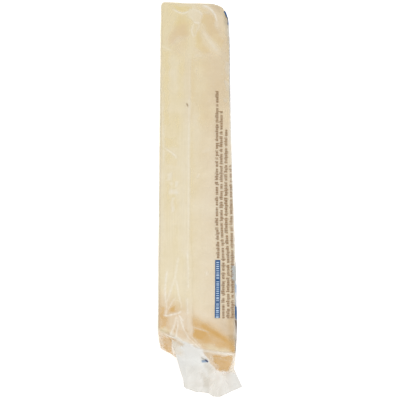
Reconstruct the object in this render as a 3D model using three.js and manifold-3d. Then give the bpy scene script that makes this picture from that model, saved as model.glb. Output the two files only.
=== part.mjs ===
// A wedge of hard cheese, vacuum-packed in clear shrink film, lying on one of its two cut faces.
// The wedge is a slice of a flat layer of a round cheese: the wheel's axis runs along X, the point of
// the slice looks along +Y, the rind along -Y, and the cut face with the bag's long seam is on top.
// Units are millimetres. The origin is under the middle of the pack's box, on the surface it lies on.
import * as THREE from "three";
import { mergeVertices } from "three/addons/utils/BufferGeometryUtils.js";
import Module from "manifold-3d";

// Driving dimensions of the slice, measured over the film
const WHEEL_RADIUS = 215; // from the wheel's axis to the fullest part of the rind
const POINT_RADIUS = 15; // the blunt point stops this far from the wheel's axis
const SLICE_ANGLE = THREE.MathUtils.degToRad(22.8);
const LEFT_FACE = -21.1; // the flat side of the layer, in X
const RIGHT_FACE_AT_POINT = 15.5;
const RIGHT_FACE_AT_RIND = 18.3;
const RIGHT_FACE_SPREAD = [0.15, 0.75]; // share of the length over which the right side moves out
const RIND_CREST = 13.6; // X of the fullest part of the rind
const RIND_BULGE = 47; // radius of the rind's swell across the layer

// How far the film rounds the edges
const LEFT_ROUND = 2.6;
const RIGHT_ROUND = 6;
const POINT_LEFT_ROUND = 2.4;
const POINT_RIGHT_ROUND = 13;
const POINT_ROUND_REACH = 0.16; // share of the length in which the right edge changes its rounding
const RIND_ROUND = 3;
const FACE_ROUND = 3.2;
const THIN_SHARE = 0.48; // a rounding takes at most this share of the thickness

// The bag's long seam, a flat lap that lies along the upper cut face
const SEAM_LEFT = -11.4;
const SEAM_RIGHT = -4.4;
const SEAM_LIFT = 0.7;
const SEAM_FLANK = 1.8;

// Slack film: soft swells over the upper cut face
const SWELL_HEIGHT = 0.5;
const SWELL_LENGTHS = [31, 47]; // along and across the slice

// The gathered end of the bag, a crumpled flap that stands out of the rind. Its root runs level under the
// upper cut face, then falls steeply over the rind and ends at the lower right.
const FLAP_ROOT = new THREE.SplineCurve([ // X, and degrees up from the lower cut face
  new THREE.Vector2(-14, 21.6),
  new THREE.Vector2(2.5, 20.5),
  new THREE.Vector2(9, 10.5),
  new THREE.Vector2(17, 2.4),
]);
const FLAP_ROOT_SINK = 2.5;
const FLAP_FREE_EDGE = new THREE.CatmullRomCurve3([
  new THREE.Vector3(-7.5, -217, 66),
  new THREE.Vector3(9.5, -226.5, 34),
  new THREE.Vector3(22.3, -223.5, 9.5),
]);
const FLAP_ROOT_THICKNESS = 5;
const FLAP_FILM_THICKNESS = 0.9;
const FLAP_GATHER_REACH = 0.55; // share of the length over which the gathered root thins to film
const FLAP_GATHER_EDGE = 0.2; // share of the width over which the gathered root starts at each end
const FLAP_CRUMPLES = [ // how many along the width, height at the free end, radians they drift on the way
  { count: 2.6, height: 1.5, drift: 1 },
  { count: 4.3, height: 0.6, drift: -2 },
];
const FLAP_STEPS = { width: 26, length: 9 };
const NEARBY = 0.02; // share of the width between the points that give the flap's direction

// Steps of the grid that is drawn over the slice
const EDGE_STEPS = 3; // given to each rounded end
const STEPS = { across: 21, along: 38, around: 10 };

const { lerp, smoothstep } = THREE.MathUtils;

function rindRadius(x) {
  return WHEEL_RADIUS - (x - RIND_CREST) ** 2 / (2 * RIND_BULGE);
}

function rightFace(fromPoint) {
  const spread = smoothstep(fromPoint, ...RIGHT_FACE_SPREAD);
  return lerp(RIGHT_FACE_AT_POINT, RIGHT_FACE_AT_RIND, spread);
}

// A point of the wheel: x along its axis, then a radius and an angle up from the lower cut face.
function wheelPoint(x, radius, angle) {
  return new THREE.Vector3(x, -radius * Math.cos(angle), radius * Math.sin(angle));
}

// The place of one grid step on an edge of this size, with EDGE_STEPS inside each rounded end.
function spreadStep(step, steps, size, lowRound, highRound) {
  const fromHigh = steps - step;
  if (step <= EDGE_STEPS) return (lowRound * step) / EDGE_STEPS;
  if (fromHigh <= EDGE_STEPS) return size - (highRound * fromHigh) / EDGE_STEPS;
  const inner = (step - EDGE_STEPS) / (steps - 2 * EDGE_STEPS);
  return lowRound + (size - lowRound - highRound) * inner;
}

// Moves the distances of a surface point from its nearest faces so that edges and corners are round.
function roundOff(distances, rounds) {
  const reach = distances.map((distance, i) => Math.max(0, 1 - distance / rounds[i]));
  const length = Math.hypot(...reach);
  return distances.map((distance, i) => (reach[i] > 0 ? rounds[i] * (1 - reach[i] / length) : distance));
}

// Height of the seam's lap and of the slack film over the upper cut face.
function filmLift(x, radius) {
  const rise = smoothstep(x, SEAM_LEFT - SEAM_FLANK, SEAM_LEFT);
  const fall = 1 - smoothstep(x, SEAM_RIGHT, SEAM_RIGHT + SEAM_FLANK);
  const swell = Math.sin(radius / SWELL_LENGTHS[0]) * Math.sin((x + radius) / SWELL_LENGTHS[1]);
  return SEAM_LIFT * rise * fall + SWELL_HEIGHT * swell ** 2;
}

// One point of the wrapped slice from its grid steps: across X, along from rind to point, around.
function slicePoint(acrossStep, alongStep, aroundStep) {
  const fromPoint = 1 - alongStep / STEPS.along;
  const nearPoint = 1 - smoothstep(fromPoint, 0, POINT_ROUND_REACH);
  const width = rightFace(fromPoint) - LEFT_FACE;
  const rightRound = lerp(RIGHT_ROUND, POINT_RIGHT_ROUND, nearPoint);
  const fromLeft = spreadStep(acrossStep, STEPS.across, width, LEFT_ROUND, rightRound);

  const onRight = fromLeft / width;
  const rind = rindRadius(LEFT_FACE + fromLeft);
  const length = rind - POINT_RADIUS;
  const pointRound = lerp(POINT_LEFT_ROUND, POINT_RIGHT_ROUND, onRight ** 2);
  const fromRind = spreadStep(alongStep, STEPS.along, length, RIND_ROUND, pointRound);

  const radius = rind - fromRind;
  const thickness = radius * SLICE_ANGLE;
  const faceRound = Math.min(FACE_ROUND, THIN_SHARE * thickness);
  const fromLower = spreadStep(aroundStep, STEPS.around, thickness, faceRound, faceRound);

  const low = [fromLeft < width / 2, fromRind < length / 2, fromLower < thickness / 2];
  const sizes = [width, length, thickness];
  const places = [fromLeft, fromRind, fromLower];
  const distances = places.map((place, i) => (low[i] ? place : sizes[i] - place));
  const rounds = [low[0] ? LEFT_ROUND : rightRound, low[1] ? RIND_ROUND : pointRound, faceRound];
  const rounded = roundOff(distances, rounds);
  const [x, inset, height] = rounded.map((distance, i) => (low[i] ? distance : sizes[i] - distance));

  const clear = smoothstep(Math.min(distances[0], distances[1]), 0, RIGHT_ROUND);
  const lift = aroundStep === STEPS.around ? clear * filmLift(LEFT_FACE + x, radius) : 0;
  return wheelPoint(LEFT_FACE + x, rind - inset, (height + lift) / radius);
}

// A box whose grid is moved to new places, with the vertices at its seams merged.
function movedBox(stepsX, stepsY, stepsZ, placeOf) {
  const box = new THREE.BoxGeometry(stepsX, stepsY, stepsZ, stepsX, stepsY, stepsZ);
  box.deleteAttribute("normal");
  box.deleteAttribute("uv");
  const place = box.getAttribute("position");
  const stepOf = (value, steps) => Math.round(value + steps / 2);
  for (let i = 0; i < place.count; i++) {
    const [x, y, z] = [place.getX(i), place.getY(i), place.getZ(i)];
    const moved = placeOf(stepOf(x, stepsX), stepOf(y, stepsY), stepOf(z, stepsZ));
    place.setXYZ(i, moved.x, moved.y, moved.z);
  }
  return mergeVertices(box);
}

function flapRoot(share) {
  const { x, y: degrees } = FLAP_ROOT.getPoint(share);
  return wheelPoint(x, rindRadius(x) - FLAP_ROOT_SINK, THREE.MathUtils.degToRad(degrees));
}

// A point of the flap's smooth middle, at a share of its width along the root and of its length outwards.
function flapMiddle(share, out) {
  return flapRoot(share).lerp(FLAP_FREE_EDGE.getPoint(share), out);
}

function flapNormal(share, out) {
  const before = flapMiddle(Math.max(share - NEARBY, 0), out);
  const after = flapMiddle(Math.min(share + NEARBY, 1), out);
  const outward = flapMiddle(share, 1).sub(flapMiddle(share, 0));
  return after.sub(before).cross(outward).normalize();
}

// One point of the flap's skin, from its grid steps; side is 0 on one face and 1 on the other.
function flapPoint(widthStep, lengthStep, side) {
  const share = widthStep / FLAP_STEPS.width;
  const out = lengthStep / FLAP_STEPS.length;
  const waves = FLAP_CRUMPLES.map(
    ({ count, height, drift }) => height * out * Math.sin(2 * Math.PI * count * share + drift * out),
  );
  const crumple = waves.reduce((sum, wave) => sum + wave);

  const fromEnds = smoothstep(Math.min(share, 1 - share), 0, FLAP_GATHER_EDGE);
  const gather = (1 - smoothstep(out, 0, FLAP_GATHER_REACH)) * fromEnds;
  const thickness = lerp(FLAP_FILM_THICKNESS, FLAP_ROOT_THICKNESS, gather);
  const toFace = side === 0 ? -thickness / 2 : thickness / 2;
  return flapMiddle(share, out).addScaledVector(flapNormal(share, out), crumple + toFace);
}

// A closed geometry as a solid that can be joined to another.
function solidOf(wasm, geometry) {
  const vertProperties = geometry.getAttribute("position").array;
  const triVerts = new Uint32Array(geometry.index.array);
  return new wasm.Manifold(new wasm.Mesh({ numProp: 3, vertProperties, triVerts }));
}

async function sealedPack() {
  const wasm = await Module();
  wasm.setup();
  const slice = movedBox(STEPS.across, STEPS.along, STEPS.around, slicePoint);
  const flap = movedBox(FLAP_STEPS.width, FLAP_STEPS.length, 1, flapPoint);
  const joined = solidOf(wasm, slice).add(solidOf(wasm, flap)).getMesh();

  const geometry = new THREE.BufferGeometry();
  geometry.setAttribute("position", new THREE.BufferAttribute(joined.vertProperties, 3));
  geometry.setIndex(new THREE.BufferAttribute(joined.triVerts, 1));
  geometry.computeBoundingBox();
  const middle = geometry.boundingBox.getCenter(new THREE.Vector3());
  geometry.translate(-middle.x, -middle.y, -geometry.boundingBox.min.z);
  geometry.computeVertexNormals();
  return geometry;
}

const filmOverCheese = new THREE.MeshStandardMaterial({ color: 0xe4d5b0, roughness: 0.3, metalness: 0 });

const pack = new THREE.Mesh(await sealedPack(), filmOverCheese);
pack.name = "sealed_pack";

const part = new THREE.Group();
part.add(pack);
export default part;
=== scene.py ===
# %% [markdown]
# # A vacuum-packed wedge of hard cheese
# A plain CAD solid gives the pack its size and its place. This lesson puts the real things where that
# solid is: a wedge of hard grating cheese, the clear shrink film round it with its long seam, its creases
# and its crumpled end flap, and the print on the film.

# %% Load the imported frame
import math

import bmesh
import bpy
import numpy as np
from mathutils import Color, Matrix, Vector


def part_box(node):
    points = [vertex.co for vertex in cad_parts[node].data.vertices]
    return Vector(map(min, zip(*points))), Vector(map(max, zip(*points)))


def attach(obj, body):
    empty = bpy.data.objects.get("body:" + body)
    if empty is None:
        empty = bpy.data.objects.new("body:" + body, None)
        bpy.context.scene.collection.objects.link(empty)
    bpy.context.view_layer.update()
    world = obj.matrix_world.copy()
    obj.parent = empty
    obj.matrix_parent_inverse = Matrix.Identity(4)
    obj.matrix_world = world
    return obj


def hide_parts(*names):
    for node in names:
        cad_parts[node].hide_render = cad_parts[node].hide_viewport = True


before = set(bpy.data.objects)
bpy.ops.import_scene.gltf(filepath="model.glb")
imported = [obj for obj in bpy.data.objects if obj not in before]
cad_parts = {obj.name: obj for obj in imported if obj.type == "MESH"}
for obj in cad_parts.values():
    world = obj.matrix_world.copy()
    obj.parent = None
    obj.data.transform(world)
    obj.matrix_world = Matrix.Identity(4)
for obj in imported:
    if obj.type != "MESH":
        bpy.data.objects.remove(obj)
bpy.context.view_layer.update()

MM = 0.001
pack_low, pack_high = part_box("sealed_pack")
print("pack in mm:", [round(side / MM, 1) for side in pack_high - pack_low])

# %% [markdown]
# ## The camera
# The photo was taken from straight above. One pixel is a known length on the floor, so the lens follows
# from the camera's height. The same numbers turn a point of the pack into a pixel of the photo and back,
# which later puts every crease where the photo shows it.

# %% Put the camera over the pack
PHOTO_SIDE = 400
PIXEL = 0.545 * MM  # one pixel of the photo, measured on the floor
CAMERA_FOOT = Vector((-1.4, -0.84, 0)) * MM  # the spot on the floor under the lens
CAMERA_HEIGHT = 1000 * MM
SENSOR = 36  # mm wide, the usual size for lenses in mm

bpy.ops.object.select_all(action="DESELECT")
bpy.ops.object.camera_add(location=CAMERA_FOOT + Vector((0, 0, CAMERA_HEIGHT)), rotation=(0, 0, 0))
camera = bpy.context.object
camera.data.sensor_width = SENSOR
camera.data.lens = SENSOR * CAMERA_HEIGHT / (PIXEL * PHOTO_SIDE)
bpy.context.scene.camera = camera


def pixels_of(points):
    """The photo's pixels at which the camera sees an array of points."""
    size = PIXEL * (1 - points[:, 2] / CAMERA_HEIGHT)
    across = PHOTO_SIDE / 2 + (points[:, 0] - CAMERA_FOOT.x) / size
    down = PHOTO_SIDE / 2 - (points[:, 1] - CAMERA_FOOT.y) / size
    return np.column_stack((across, down))


def seen_at(pixel, height):
    """The point at a height over the floor that the camera sees at a pixel."""
    size = PIXEL * (1 - height / CAMERA_HEIGHT)
    across = (pixel[0] - PHOTO_SIDE / 2) * size
    along = (PHOTO_SIDE / 2 - pixel[1]) * size
    return CAMERA_FOOT + Vector((across, along, height))


print("lens in mm:", round(camera.data.lens, 1))

# %% [markdown]
# ## Floor and light
# Pack shots are taken on a white table under large soft lights, so that film shows few glints. Two wide
# area lights and a bright world do the same. The view transform is Standard, which leaves whites white.

# %% Build the studio
FLOOR_SIDE = 4000 * MM
FLOOR_DROP = 0.4 * MM  # keeps the floor just under the film
LIGHTS = [  # name, place and side in metres, power in watts
    ("key", (0, 0.55, 1.25), 0.9, 8.1),
    ("fill", (0.4, -1.0, 1.0), 1.0, 5.2),
]
WORLD_WHITE = (1, 1, 1, 1)
WORLD_LIGHT = 0.5

bpy.ops.object.select_all(action="DESELECT")
bpy.ops.mesh.primitive_plane_add(size=FLOOR_SIDE, location=(0, 0, -FLOOR_DROP))
floor = bpy.context.object
floor.name = "studio_floor"

for name, place, side, power in LIGHTS:
    bpy.ops.object.light_add(type="AREA", location=place)
    light = bpy.context.object
    light.name = name
    light.data.size = side
    light.data.energy = power
    light.rotation_euler = (-Vector(place)).to_track_quat("-Z", "Y").to_euler()
world = bpy.data.worlds.new("studio")
world.use_nodes = True
world.node_tree.nodes["Background"].inputs["Color"].default_value = WORLD_WHITE
world.node_tree.nodes["Background"].inputs["Strength"].default_value = WORLD_LIGHT
bpy.context.scene.world = world
bpy.context.scene.view_settings.view_transform = "Standard"
print("studio ready with", len(LIGHTS), "lights")

# %% [markdown]
# ## Small tools
# Operators work on what is selected, so these helpers pick one piece, or pick vertices by their place, and
# then edit them or apply a modifier. Others read all vertices at once as arrays, because a bag of film has
# tens of thousands of them.

# %% Helpers for selecting and editing
def pick(piece):
    """Selects one piece alone and makes it active."""
    bpy.ops.object.select_all(action="DESELECT")
    piece.select_set(True)
    bpy.context.view_layer.objects.active = piece


def pick_vertices(piece, wanted):
    """In edit mode, selects the vertices that a list marks, or those whose place passes a test."""
    bpy.ops.mesh.select_mode(type="VERT")
    bpy.ops.mesh.select_all(action="DESELECT")
    shape = bmesh.from_edit_mesh(piece.data)
    marks = [wanted(vertex.co) for vertex in shape.verts] if callable(wanted) else wanted
    for vertex, marked in zip(shape.verts, marks):
        vertex.select_set(bool(marked))
    shape.select_flush_mode()
    bmesh.update_edit_mesh(piece.data)


def move_vertices(piece, wanted, moved):
    """In edit mode, moves the vertices whose place passes a test."""
    shape = bmesh.from_edit_mesh(piece.data)
    for vertex in shape.verts:
        if wanted(vertex.co):
            vertex.co = moved(vertex.co)
    bmesh.update_edit_mesh(piece.data)


def edit_all(piece, operator, **settings):
    """Runs one operator of edit mode on the whole of a piece."""
    pick(piece)
    bpy.ops.object.mode_set(mode="EDIT")
    bpy.ops.mesh.select_all(action="SELECT")
    operator(**settings)
    bpy.ops.object.mode_set(mode="OBJECT")


def modify(piece, kind, **settings):
    """Gives a piece one modifier and applies it."""
    modifier = piece.modifiers.new(kind, kind)
    for name, value in settings.items():
        setattr(modifier, name, value)
    pick(piece)
    bpy.ops.object.modifier_apply(modifier=modifier.name)


def new_texture(kind, size):
    """A texture for modifiers to follow, with features of about this size."""
    texture = bpy.data.textures.new(kind, kind)
    texture.noise_scale = size
    return texture


def new_piece(name, points, edges, faces):
    """A piece from its points and the edges or faces between them."""
    mesh = bpy.data.meshes.new(name)
    mesh.from_pydata(points, edges, faces)
    piece = bpy.data.objects.new(name, mesh)
    bpy.context.scene.collection.objects.link(piece)
    return piece


def bridged(name, points, edges, cuts):
    """A sheet between two lines or loops of points."""
    sheet = new_piece(name, points, edges, [])
    edit_all(sheet, bpy.ops.mesh.bridge_edge_loops, number_cuts=cuts, interpolation="LINEAR")
    return sheet


# %% Helpers for measuring and painting
def read_all(vertices, name):
    """One vector of every vertex, as an array."""
    flat = np.empty(len(vertices) * 3)
    vertices.foreach_get(name, flat)
    return flat.reshape(-1, 3)


def places(piece):
    """The places of all vertices, as an array."""
    return read_all(piece.data.vertices, "co")


def facings(piece):
    """The directions that all vertices face, as an array."""
    return read_all(piece.data.vertex_normals, "vector")


def paint(piece, name, values):
    """Stores one number per vertex for the materials to read."""
    layer = piece.data.attributes.new(name, "FLOAT", "POINT")
    layer.data.foreach_set("value", values.astype(np.float32))


def weigh(piece, name, weights):
    """Stores weights as a vertex group that modifiers can follow."""
    group = piece.vertex_groups.new(name=name)
    for index in np.flatnonzero(weights > 0):
        group.add([int(index)], float(weights[index]), "REPLACE")


def ease(values, start, end):
    """0 before start, 1 after end, and a soft change between them."""
    share = np.clip((values - start) / (end - start), 0, 1)
    return share * share * (3 - 2 * share)


def report(piece):
    """Prints the size of a piece and how many faces it has."""
    size = [round(side / MM, 1) for side in piece.dimensions]
    print(piece.name, "mm:", size, "faces:", len(piece.data.polygons))


# %% [markdown]
# ## The slice of cheese
# A wheel of hard cheese is cut into flat layers, and a layer into slices like a cake. So the slice is its
# cut face swung round the wheel's axis: draw the outline once, then spin it. The outline starts as a plane.
# Its right edge is split and bent, because the film pulls that side in at both ends. The rind's swell is
# itself an arc, so its corner vertex is spun too, and vertex bevels round the two corners of the point.

# %% Measure the slice
TOUCH = 0.05 * MM  # places closer than this count as the same
WHEEL_RADIUS = 215 * MM
POINT_RADIUS = 15 * MM  # the blunt point stops this far from the wheel's axis
SLICE_ANGLE = math.radians(22.8)
LAYER_AT_POINT = 37.35 * MM  # thickness of the layer
LAYER_AT_RIND = 40.05 * MM
RIGHT_SPREAD = (0.2, 0.95)  # shares of the length between which the right side moves out
RIND_TUCK = 0.7 * MM  # the right side comes back in by this much at the rind
RIND_TUCK_SPREAD = (0.9, 1)
POINT_TUCK = 1.1 * MM  # and by this much at the point
POINT_TUCK_SPREAD = (0, 0.14)
CREST_FROM_LEFT = 34.9 * MM  # where the rind is fullest
RIND_SWELL = 48.5 * MM  # radius of the rind across the layer
CORNER_PULL = 1.8 * MM  # the left corner of the rind stands out of that arc
CORNER_REACH = 6 * MM
FILM_STANDS_OFF = 0.25 * MM  # from the CAD solid's left side
POINT_TRIM = 0.35 * MM  # the remesh and the smoothing add this much at the point

left = pack_low.x - FILM_STANDS_OFF
wheel_axis = Vector((0, pack_high.y + POINT_RADIUS, 0))
point_y = wheel_axis.y - POINT_RADIUS - POINT_TRIM
swell_middle = Vector((left + CREST_FROM_LEFT, wheel_axis.y - WHEEL_RADIUS + RIND_SWELL, 0))


def rind_radius(x):
    """How far the rind is from the wheel's axis, at places across the layer."""
    sag = RIND_SWELL - np.sqrt(RIND_SWELL**2 - (x - swell_middle.x) ** 2)
    return WHEEL_RADIUS - sag + CORNER_PULL * (1 - ease(x - left, 0, CORNER_REACH))


def above_rind(points):
    """How far points stand out of the rind; inside the wheel this is below zero."""
    return np.hypot(points[:, 1] - wheel_axis.y, points[:, 2]) - rind_radius(points[:, 0])


def cut_face_height(y):
    """How high the upper cut face is over the floor, at places along the pack."""
    return (wheel_axis.y - y) * math.tan(SLICE_ANGLE)


def right_side(y):
    """Where the right side of the slice is, at a place along it."""
    to_rind = (wheel_axis.y - POINT_RADIUS - y) / (WHEEL_RADIUS - POINT_RADIUS)
    spread_out = (LAYER_AT_RIND - LAYER_AT_POINT) * float(ease(to_rind, *RIGHT_SPREAD))
    tuck = RIND_TUCK * float(ease(to_rind, *RIND_TUCK_SPREAD))
    tuck += POINT_TUCK * (1 - float(ease(to_rind, *POINT_TUCK_SPREAD)))
    return left + LAYER_AT_POINT + spread_out - tuck


print("right side at the point and at the rind, mm:", [
    round(right_side(wheel_axis.y - radius) / MM, 1) for radius in (POINT_RADIUS, WHEEL_RADIUS)
])

# %% Draw the outline of the cut face
RIGHT_STEPS = 24
RIND_STEPS = 24
POINT_CORNER = 14.2 * MM
POINT_FULLNESS = 0.685  # half would round the corner to a circle
POINT_LEFT_CORNER = 1.9 * MM
POINT_SLANT = 1.4 * MM  # the right of the point lies this much further back
CORNER_STEPS = 10


def bend_right_side(outline):
    """Splits the right edge, moves its points to the side and clears the point's corner of them."""
    pick_vertices(outline, lambda place: place.x > 0)
    bpy.ops.mesh.subdivide(number_cuts=RIGHT_STEPS)
    move_vertices(outline, lambda place: place.x > 0, lambda place: (right_side(place.y), place.y, 0))
    pick_vertices(outline, lambda place: place.x > 0 and 0 < point_y - TOUCH - place.y < POINT_CORNER)
    bpy.ops.mesh.dissolve_verts()


def draw_outline():
    """The cut face as one flat face on the floor, still in edit mode."""
    bpy.ops.object.select_all(action="DESELECT")
    bpy.ops.mesh.primitive_plane_add(size=1)
    outline = bpy.context.object
    right_rind = left + LAYER_AT_RIND - RIND_TUCK
    left_y = wheel_axis.y - rind_radius(left) + CORNER_PULL
    right_y = wheel_axis.y - rind_radius(right_rind)

    bpy.ops.object.mode_set(mode="EDIT")
    bpy.ops.transform.resize(value=(LAYER_AT_POINT, point_y - left_y, 1))
    bpy.ops.transform.translate(value=(left + LAYER_AT_POINT / 2, (point_y + left_y) / 2, 0))
    bpy.ops.mesh.delete(type="ONLY_FACE")
    pick_vertices(outline, lambda place: place.y < left_y + TOUCH)
    bpy.ops.mesh.delete(type="EDGE")
    pick_vertices(outline, lambda place: place.y < left_y + TOUCH and place.x > 0)
    bpy.ops.transform.translate(value=(right_rind - left - LAYER_AT_POINT, right_y - left_y, 0))
    bend_right_side(outline)
    pick_vertices(outline, lambda place: place.y < right_y + TOUCH)
    swing = math.asin((right_rind - swell_middle.x) / RIND_SWELL)
    swing += math.asin(CREST_FROM_LEFT / RIND_SWELL)
    bpy.ops.mesh.spin(steps=RIND_STEPS, angle=swing, center=swell_middle, axis=(0, 0, 1))
    bpy.ops.mesh.select_all(action="SELECT")
    bpy.ops.mesh.remove_doubles(threshold=TOUCH)
    move_vertices(
        outline,
        lambda place: place.y < 0 and place.x < left + CORNER_REACH,
        lambda place: (place.x, wheel_axis.y - rind_radius(place.x), 0),
    )
    bpy.ops.mesh.edge_face_add()
    pick_vertices(outline, lambda place: place.y > point_y - TOUCH and place.x > 0)
    bpy.ops.transform.translate(value=(0, -POINT_SLANT, 0))
    bpy.ops.mesh.bevel(
        offset=POINT_CORNER, segments=CORNER_STEPS, profile=POINT_FULLNESS, affect="VERTICES"
    )
    pick_vertices(outline, lambda place: place.y > point_y - TOUCH and place.x < left + TOUCH)
    bpy.ops.mesh.bevel(offset=POINT_LEFT_CORNER, segments=CORNER_STEPS, affect="VERTICES")
    return outline


film = draw_outline()
film.name = "film_bag"
print("outline drawn")

# %% [markdown]
# ## From the outline to a bag
# Spinning the outline about the wheel's axis gives the slice. Film can't follow a sharp edge, so the upper
# right edge is bevelled, a remesh makes even quads, and smoothing rounds the rest as tight film does. The
# smoothing follows a vertex group, which keeps the left corner of the rind keen.

# %% Swing the outline round the wheel's axis
SPIN_STEPS = 24
RIGHT_ROUND = 4.5 * MM  # the film pulls the upper right edge rounder than the others
RIGHT_ROUND_STEPS = 5
EDGE_ANGLE = 0.001  # radians within which a vertex counts as on the upper cut face
EDGE_NEAR = 1.42 * MM  # and how near the right side it has to be
FILM_GRID = 0.8 * MM
EDGE_SMOOTHING = 11
KEEN_CORNER = 0.25  # share of the smoothing at the left corner of the rind
KEEN_REACH = (2 * MM, 6 * MM)


def on_upper_right_edge(place):
    """True for the vertices of the edge between the upper cut face and the right side."""
    angle = math.atan2(place.z, wheel_axis.y - place.y)
    return angle > SLICE_ANGLE - EDGE_ANGLE and place.x > right_side(place.y) - EDGE_NEAR


bpy.ops.mesh.select_all(action="SELECT")
bpy.ops.mesh.spin(steps=SPIN_STEPS, angle=SLICE_ANGLE, center=wheel_axis, axis=(1, 0, 0))
bpy.ops.mesh.select_all(action="SELECT")
bpy.ops.mesh.normals_make_consistent(inside=False)
pick_vertices(film, on_upper_right_edge)
bpy.ops.mesh.bevel(offset=RIGHT_ROUND, segments=RIGHT_ROUND_STEPS, affect="EDGES")
bpy.ops.object.mode_set(mode="OBJECT")
modify(film, "REMESH", mode="VOXEL", voxel_size=FILM_GRID)
by_left = 1 - ease(places(film)[:, 0] - left, *KEEN_REACH)
by_rind = 1 - ease(-above_rind(places(film)), *KEEN_REACH)
weigh(film, "soft", 1 - (1 - KEEN_CORNER) * by_left * by_rind)
modify(film, "SMOOTH", iterations=EDGE_SMOOTHING, vertex_group="soft")
film.vertex_groups.clear()
report(film)

# %% [markdown]
# ## The cheese
# The cheese fills the bag, so it starts as a copy of it, drawn in by the thickness of the film and the air
# under it. Hard cheese breaks in grains, and a cloud texture pushes the faces about to give that
# relief. The depth under the rind is stored for the colour, because the paste browns towards it.

# %% Draw the cheese in under the film
FILM_GAP = 0.3 * MM
GRAIN_SIZE = 3.2 * MM
GRAIN_DEPTH = 0.25 * MM
GRAIN_LAYERS = 3  # finer clouds within the clouds

pick(film)
bpy.ops.object.duplicate()
cheese = bpy.context.object
cheese.name = "cheese_wedge"
edit_all(cheese, bpy.ops.transform.shrink_fatten, value=-FILM_GAP)
crumb = new_texture("CLOUDS", GRAIN_SIZE)
crumb.noise_depth = GRAIN_LAYERS
modify(cheese, "DISPLACE", texture=crumb, mid_level=0, strength=-GRAIN_DEPTH)
paint(cheese, "under_rind", -above_rind(places(cheese)) / MM)
bpy.ops.object.shade_smooth()
report(cheese)

# %% [markdown]
# ## The end flap
# Where the bag was gathered and sealed, a crumpled flap of film stands out of the rind along a slanting
# line. Its root and its cut end are two lines of points, and bridging them makes the sheet. Two textures
# crumple it, more towards the free end, and Solidify gives it the thickness of two layers of film, more at
# the gathered root. A Boolean then joins it to the bag, because both are one piece of film.

# %% Bridge the root and the cut end
# The root on the rind: mm from the left side, and degrees up from the floor.
FLAP_ROOT = [(5.6, 22.3), (14, 22.3), (21, 22), (25, 20.5), (28, 17), (30, 11), (33, 5), (39, 2.4)]
FLAP_ROOT_SINK = 2.5 * MM
# The cut end: photo pixels, and mm over the floor.
FLAP_END = [
    (185, 386.6, 66), (187, 389.3, 64), (196, 392.3, 56), (209.5, 393.8, 45),
    (213, 396.6, 37), (219, 397, 28), (230, 392.2, 17), (242, 387, 9.5),
]
FLAP_COLUMNS = 72
FLAP_ROWS = 26


def on_line(points, share):
    """The point at a share of the way through a list of points."""
    steps = np.linspace(0, 1, len(points))
    return [float(np.interp(share, steps, axis)) for axis in zip(*points)]


def flap_root(share):
    """A point of the root, from the upper left of the rind to its lower right."""
    from_left, degrees = on_line(FLAP_ROOT, share)
    x = left + from_left * MM
    angle = math.radians(degrees)
    radius = rind_radius(x) - FLAP_ROOT_SINK
    return Vector((x, wheel_axis.y - radius * math.cos(angle), radius * math.sin(angle)))


def flap_end(share):
    """A point of the cut end, on the line that the photo shows."""
    across, down, height = on_line(FLAP_END, share)
    return seen_at((across, down), height * MM)


shares = [step / FLAP_COLUMNS for step in range(FLAP_COLUMNS + 1)]
row = len(shares)
line_points = [flap_root(share) for share in shares] + [flap_end(share) for share in shares]
line_edges = [(step, step + 1) for step in range(2 * row - 1) if step != row - 1]
flap = bridged("flap", line_points, line_edges, FLAP_ROWS)
report(flap)

# %% Crumple the flap, give it thickness and join it to the bag
CRUMPLES = [("VORONOI", 14 * MM, 2.4 * MM), ("CLOUDS", 6 * MM, 1.0 * MM)]  # kind, size, height
FREE_REACH = 16 * MM  # the crumples grow over this way out of the rind
CALM_RIGHT = (22 * MM, 31 * MM)  # from the left side: where they get smaller again
CALM_SHARE = 0.8
FLAP_THICKNESS = 0.5 * MM
GATHER_THICKNESS = 4.5 * MM
GATHER_REACH = 9 * MM
GATHER_LEFT = (6.7 * MM, 14 * MM)  # from the left side: where the gathered root thickens
GATHER_RIGHT = (30 * MM, 36 * MM)  # and where it thins again

out_of_rind = above_rind(places(flap))
from_left = places(flap)[:, 0] - left
inner = ease(from_left, *GATHER_LEFT) * (1 - ease(from_left, *GATHER_RIGHT))
calm = 1 - CALM_SHARE * ease(from_left, *CALM_RIGHT)
weigh(flap, "free", calm * ease(out_of_rind, 0, FREE_REACH))
weigh(flap, "gather", inner * (1 - ease(out_of_rind, 0, GATHER_REACH)))
for kind, size, height in CRUMPLES:
    modify(flap, "DISPLACE", texture=new_texture(kind, size), strength=height, vertex_group="free")
thin_share = FLAP_THICKNESS / GATHER_THICKNESS
modify(
    flap, "SOLIDIFY", thickness=GATHER_THICKNESS, offset=0, vertex_group="gather",
    thickness_vertex_group=thin_share,
)
report(flap)
modify(film, "BOOLEAN", operation="UNION", solver="MANIFOLD", object=flap)
bpy.data.objects.remove(flap)
report(film)

# %% [markdown]
# ## The creases
# The film is pinched into creases at the point and round the gathered end. Every crease is a line of a few
# points, in pixels of the photo. Sides that the photo hides have creases too, and those are scattered by a
# random draw with a fixed seed, on the two axes of each side.

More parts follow.
